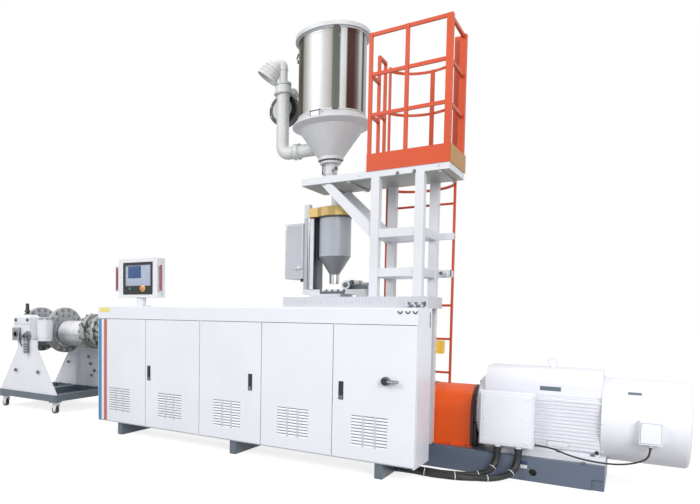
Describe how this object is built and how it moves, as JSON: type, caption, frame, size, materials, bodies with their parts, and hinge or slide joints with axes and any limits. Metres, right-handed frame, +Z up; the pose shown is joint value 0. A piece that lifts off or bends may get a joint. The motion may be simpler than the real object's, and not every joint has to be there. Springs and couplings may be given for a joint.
{
  "type": "plastic extruder",
  "caption": "Single-screw plastic extruder line: doored control cabinet, barrel, die cart on casters, drive motor, dryer hopper on a ladder tower with guard rails.",
  "frame": {"origin": "on the underside of the centre foot, at floor level near the middle of the machine", "axes": "+X along the machine towards the drive motor, +Y away from the cabinet doors, +Z up"},
  "size_m": [7.97, 1.558, 4.355],
  "materials": {
    "bare_steel": "machined",
    "blue_grey": "satin paint",
    "brass": "satin",
    "dark_grey": "satin paint",
    "light_grey": "satin paint",
    "motor_grey": "satin paint",
    "orange": "gloss paint",
    "plastic_dark": "matte",
    "rubber": "matte",
    "steel": "brushed",
    "wheel": "matte",
    "white": "satin paint",
    "yellow": "satin paint"
  },
  "bodies": {
    "machine": {"air_duct": "light_grey", "barrel": "bare_steel", "barrel_cover": "light_grey", "base_frame": "dark_grey", "bed": "blue_grey", "block_fittings": "bare_steel", "blower": "plastic_dark", "cabinet_back": "white", "cabinet_floor": "white", "cabinet_gear": "dark_grey", "cabinet_roof": "white", "cabinet_walls": "white", "cart_frame": "dark_grey", "coupling_guard": "orange", "deck": "light_grey", "die_adapter": "bare_steel", "die_cylinders": "bare_steel", "die_discs": "bare_steel", "drive_base": "blue_grey", "dryer_cone": "steel", "dryer_drum": "steel", "dryer_lid": "steel", "fan_cable": "rubber", "fan_cowl": "white", "feed_section": "light_grey", "feeder_box": "light_grey", "feeder_ring": "brass", "feeder_stand": "light_grey", "feeder_vessel": "motor_grey", "gearbox": "blue_grey", "guard_posts": "orange", "guard_rails": "orange", "hmi_post": "white", "ladder": "orange", "ladder_cage": "orange", "main_cable_1": "rubber", "main_cable_2": "rubber", "motor_body": "white", "platform": "white", "screen_block": "white", "side_box": "yellow", "stand_plates": "white", "terminal_box": "white", "tower_beams": "white", "tower_posts": "white"},
    "door_1": {"door_1": "white"},
    "door_2": {"door_2": "white"},
    "door_3": {"door_3": "white"},
    "door_4": {"door_4": "white"},
    "door_5": {"door_5": "white"},
    "isolator": {"isolator": "dark_grey"},
    "hmi_head": {"hmi_head": "white"},
    "caster_fork_1": {"caster_fork_1": "dark_grey"},
    "caster_wheel_1": {"caster_wheel_1": "wheel"},
    "caster_fork_2": {"caster_fork_2": "dark_grey"},
    "caster_wheel_2": {"caster_wheel_2": "wheel"},
    "caster_fork_3": {"caster_fork_3": "dark_grey"},
    "caster_wheel_3": {"caster_wheel_3": "wheel"},
    "caster_fork_4": {"caster_fork_4": "dark_grey"},
    "caster_wheel_4": {"caster_wheel_4": "wheel"}
  },
  "joints": [
    {"name": "door_1_hinge", "type": "hinge", "parent": "machine", "child": "door_1", "pos_m": [-1.391, -0.795, 0.73], "axis": [0, 0, -1], "range_deg": [0, 90]},
    {"name": "door_2_hinge", "type": "hinge", "parent": "machine", "child": "door_2", "pos_m": [0.051, -0.795, 0.73], "axis": [0, 0, 1], "range_deg": [0, 90]},
    {"name": "door_3_hinge", "type": "hinge", "parent": "machine", "child": "door_3", "pos_m": [0.069, -0.795, 0.73], "axis": [0, 0, -1], "range_deg": [0, 90]},
    {"name": "door_4_hinge", "type": "hinge", "parent": "machine", "child": "door_4", "pos_m": [1.511, -0.795, 0.73], "axis": [0, 0, 1], "range_deg": [0, 90]},
    {"name": "door_5_hinge", "type": "hinge", "parent": "machine", "child": "door_5", "pos_m": [2.241, -0.795, 0.73], "axis": [0, 0, 1], "range_deg": [0, 90]},
    {"name": "isolator_turn", "type": "hinge", "parent": "door_5", "child": "isolator", "pos_m": [2, -0.812, 0.845], "axis": [0, -1, 0], "range_deg": [0, 90]},
    {"name": "panel_swivel", "type": "hinge", "parent": "machine", "child": "hmi_head", "pos_m": [-0.9, -0.615, 1.58], "axis": [0, 0, 1], "range_deg": [-60, 60]},
    {"name": "caster_1_swivel", "type": "hinge", "parent": "machine", "child": "caster_fork_1", "pos_m": [-3.795, -0.31, 0.15], "axis": [0, 0, 1], "continuous": true},
    {"name": "caster_1_roll", "type": "hinge", "parent": "caster_fork_1", "child": "caster_wheel_1", "pos_m": [-3.825, -0.31, 0.05], "axis": [0, 1, 0], "continuous": true},
    {"name": "caster_2_swivel", "type": "hinge", "parent": "machine", "child": "caster_fork_2", "pos_m": [-2.705, -0.31, 0.15], "axis": [0, 0, 1], "continuous": true},
    {"name": "caster_2_roll", "type": "hinge", "parent": "caster_fork_2", "child": "caster_wheel_2", "pos_m": [-2.735, -0.31, 0.05], "axis": [0, 1, 0], "continuous": true},
    {"name": "caster_3_swivel", "type": "hinge", "parent": "machine", "child": "caster_fork_3", "pos_m": [-3.795, 0.61, 0.15], "axis": [0, 0, 1], "continuous": true},
    {"name": "caster_3_roll", "type": "hinge", "parent": "caster_fork_3", "child": "caster_wheel_3", "pos_m": [-3.825, 0.61, 0.05], "axis": [0, 1, 0], "continuous": true},
    {"name": "caster_4_swivel", "type": "hinge", "parent": "machine", "child": "caster_fork_4", "pos_m": [-2.705, 0.61, 0.15], "axis": [0, 0, 1], "continuous": true},
    {"name": "caster_4_roll", "type": "hinge", "parent": "caster_fork_4", "child": "caster_wheel_4", "pos_m": [-2.735, 0.61, 0.05], "axis": [0, 1, 0], "continuous": true}
  ]
}
